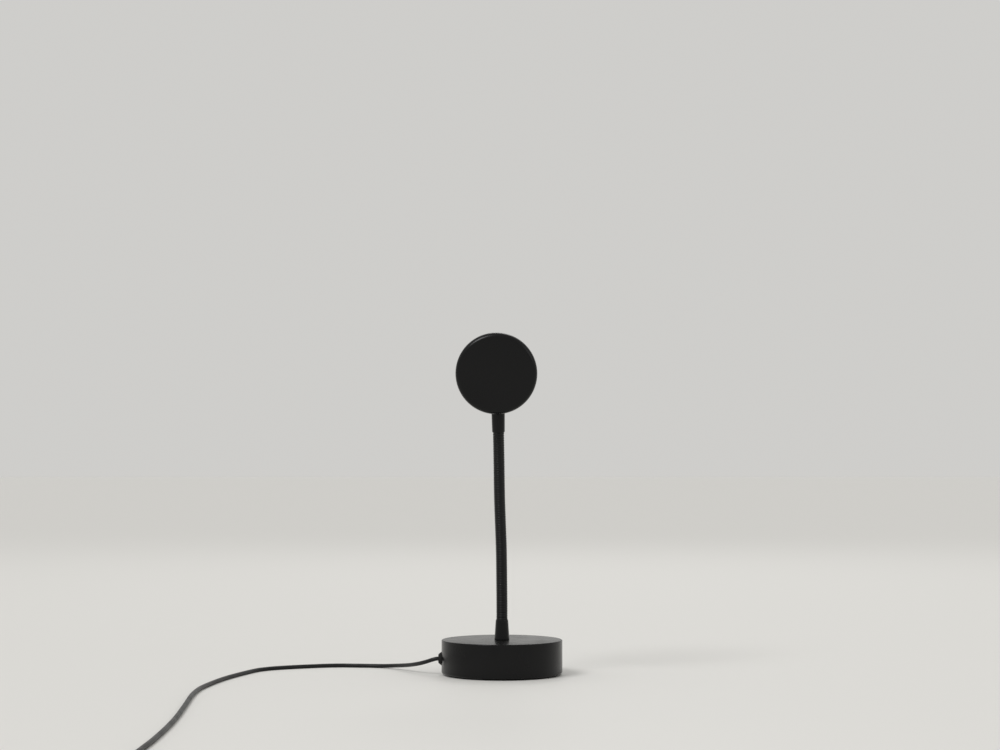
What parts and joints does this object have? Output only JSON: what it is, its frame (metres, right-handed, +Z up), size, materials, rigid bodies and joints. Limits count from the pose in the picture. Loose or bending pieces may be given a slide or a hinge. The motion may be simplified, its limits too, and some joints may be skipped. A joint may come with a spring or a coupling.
{
  "type": "sunset projection lamp",
  "caption": "Small projection lamp: weighted round base, bending neck and a drum head whose lens throws a round sunset-coloured spot.",
  "frame": {"origin": "centre of the foot pad on the table", "axes": "+Z up, +Y the way the light leaves, cord out of the base towards -X"},
  "size_m": [0.2552, 0.5887, 0.2551],
  "materials": {
    "black_metal": "black anodised aluminium, satin",
    "black_neck": "black coated wound wire, satin",
    "steel": "zinc plated",
    "iron": "cast, grey",
    "rubber": "matte moulded rubber",
    "board_green": "solder mask",
    "electronics": "moulded components",
    "nylon": "natural nylon",
    "lead_red": "two-core lead",
    "aluminium": "machined",
    "board_white": "white solder mask",
    "emitter": "silicone dome over phosphor",
    "reflector": "bright metallised cup",
    "filter_glass": "coated glass, orange to yellow",
    "lens_glass": "clear polished lens",
    "cord_black": "black cord jacket",
    "plastic_black": "moulded black plastic",
    "contact_metal": "plated contact"
  },
  "bodies": {
    "base": {"base_shell": "black_metal", "base_bottom_plate": "steel", "base_counterweight": "iron", "base_foot_pad": "rubber", "base_screws": "steel", "driver_board": "board_green", "driver_parts": "electronics", "board_pillars": "nylon", "inlet_leads": "lead_red", "base_leads": "lead_red", "outlet_bush": "rubber", "cord_inner_end": "cord_black", "lower_ferrule": "black_metal", "lower_washer": "steel", "lower_nut": "steel", "neck_link_01": "black_neck", "neck_leads": "lead_red", "power_cord": "cord_black", "cord_coil": "cord_black", "coil_tie": "plastic_black", "switch_cord": "cord_black", "switch_case_bottom": "plastic_black", "switch_case_top": "plastic_black", "switch_contacts": "contact_metal", "plug_cord": "cord_black", "plug_grip": "plastic_black", "plug_shell": "steel", "plug_tongue": "nylon", "plug_contacts": "contact_metal"},
    "link_02": {"neck_link_02": "black_neck"},
    "link_03": {"neck_link_03": "black_neck"},
    "link_04": {"neck_link_04": "black_neck"},
    "link_05": {"neck_link_05": "black_neck"},
    "link_06": {"neck_link_06": "black_neck"},
    "link_07": {"neck_link_07": "black_neck"},
    "link_08": {"neck_link_08": "black_neck"},
    "link_09": {"neck_link_09": "black_neck"},
    "link_10": {"neck_link_10": "black_neck"},
    "link_11": {"neck_link_11": "black_neck"},
    "link_12": {"neck_link_12": "black_neck"},
    "head": {"neck_link_13": "black_neck", "upper_ferrule": "black_metal", "upper_washer": "steel", "upper_nut": "steel", "head_housing": "black_metal", "rear_cover": "black_metal", "heat_sink": "aluminium", "led_board": "board_white", "led_emitter": "emitter", "led_screws": "steel", "head_leads": "lead_red", "reflector_cup": "reflector", "sunset_filter": "filter_glass", "filter_holder": "black_metal", "lens_barrel": "black_metal", "lens_gasket": "rubber", "projection_lens": "lens_glass", "front_ring": "black_metal"},
    "rocker": {"switch_rocker": "plastic_black"}
  },
  "joints": [
    {"name": "neck_fore_1", "type": "hinge", "parent": "base", "child": "link_02", "pos_m": [0, 0, 0.05175], "axis": [1, 0, 0], "range_deg": [-15, 15], "deforming": ["neck_leads"]},
    {"name": "neck_side_1", "type": "hinge", "parent": "link_02", "child": "link_03", "pos_m": [-0.00009, 0, 0.06251], "axis": [0, 1, 0], "range_deg": [-15, 15]},
    {"name": "neck_fore_2", "type": "hinge", "parent": "link_03", "child": "link_04", "pos_m": [-0.00019, 0, 0.07326], "axis": [1, 0, 0], "range_deg": [-15, 15]},
    {"name": "neck_side_2", "type": "hinge", "parent": "link_04", "child": "link_05", "pos_m": [-0.0003, 0, 0.08401], "axis": [0, 1, 0], "range_deg": [-15, 15]},
    {"name": "neck_fore_3", "type": "hinge", "parent": "link_05", "child": "link_06", "pos_m": [-0.00049, 0, 0.09477], "axis": [1, 0, 0], "range_deg": [-15, 15]},
    {"name": "neck_side_3", "type": "hinge", "parent": "link_06", "child": "link_07", "pos_m": [-0.00086, -0.00019, 0.10551], "axis": [0, 1, 0], "range_deg": [-15, 15]},
    {"name": "neck_fore_4", "type": "hinge", "parent": "link_07", "child": "link_08", "pos_m": [-0.00129, -0.00056, 0.11625], "axis": [1, 0, 0], "range_deg": [-15, 15]},
    {"name": "neck_side_4", "type": "hinge", "parent": "link_08", "child": "link_09", "pos_m": [-0.00167, -0.00113, 0.12698], "axis": [0, 1, 0], "range_deg": [-15, 15]},
    {"name": "neck_fore_5", "type": "hinge", "parent": "link_09", "child": "link_10", "pos_m": [-0.00193, -0.00188, 0.13771], "axis": [1, 0, 0], "range_deg": [-15, 15]},
    {"name": "neck_side_5", "type": "hinge", "parent": "link_10", "child": "link_11", "pos_m": [-0.00206, -0.00281, 0.14842], "axis": [0, 1, 0], "range_deg": [-15, 15]},
    {"name": "neck_fore_6", "type": "hinge", "parent": "link_11", "child": "link_12", "pos_m": [-0.00221, -0.00394, 0.15911], "axis": [1, 0, 0], "range_deg": [-15, 15]},
    {"name": "neck_side_6", "type": "hinge", "parent": "link_12", "child": "head", "pos_m": [-0.0024, -0.00525, 0.16979], "axis": [0, 1, 0], "range_deg": [-15, 15]},
    {"name": "switch_rock", "type": "hinge", "parent": "base", "child": "rocker", "pos_m": [-0.1345, -0.5255, 0.0074], "axis": [0, 1, 0], "range_deg": [-14, 0]}
  ],
  "couplings": [
    {"joint": "neck_fore_2", "follows": "neck_fore_1", "ratio": 1},
    {"joint": "neck_side_2", "follows": "neck_side_1", "ratio": 1},
    {"joint": "neck_fore_3", "follows": "neck_fore_1", "ratio": 1},
    {"joint": "neck_side_3", "follows": "neck_side_1", "ratio": 1},
    {"joint": "neck_fore_4", "follows": "neck_fore_1", "ratio": 1},
    {"joint": "neck_side_4", "follows": "neck_side_1", "ratio": 1},
    {"joint": "neck_fore_5", "follows": "neck_fore_1", "ratio": 1},
    {"joint": "neck_side_5", "follows": "neck_side_1", "ratio": 1},
    {"joint": "neck_fore_6", "follows": "neck_fore_1", "ratio": 1},
    {"joint": "neck_side_6", "follows": "neck_side_1", "ratio": 1}
  ]
}
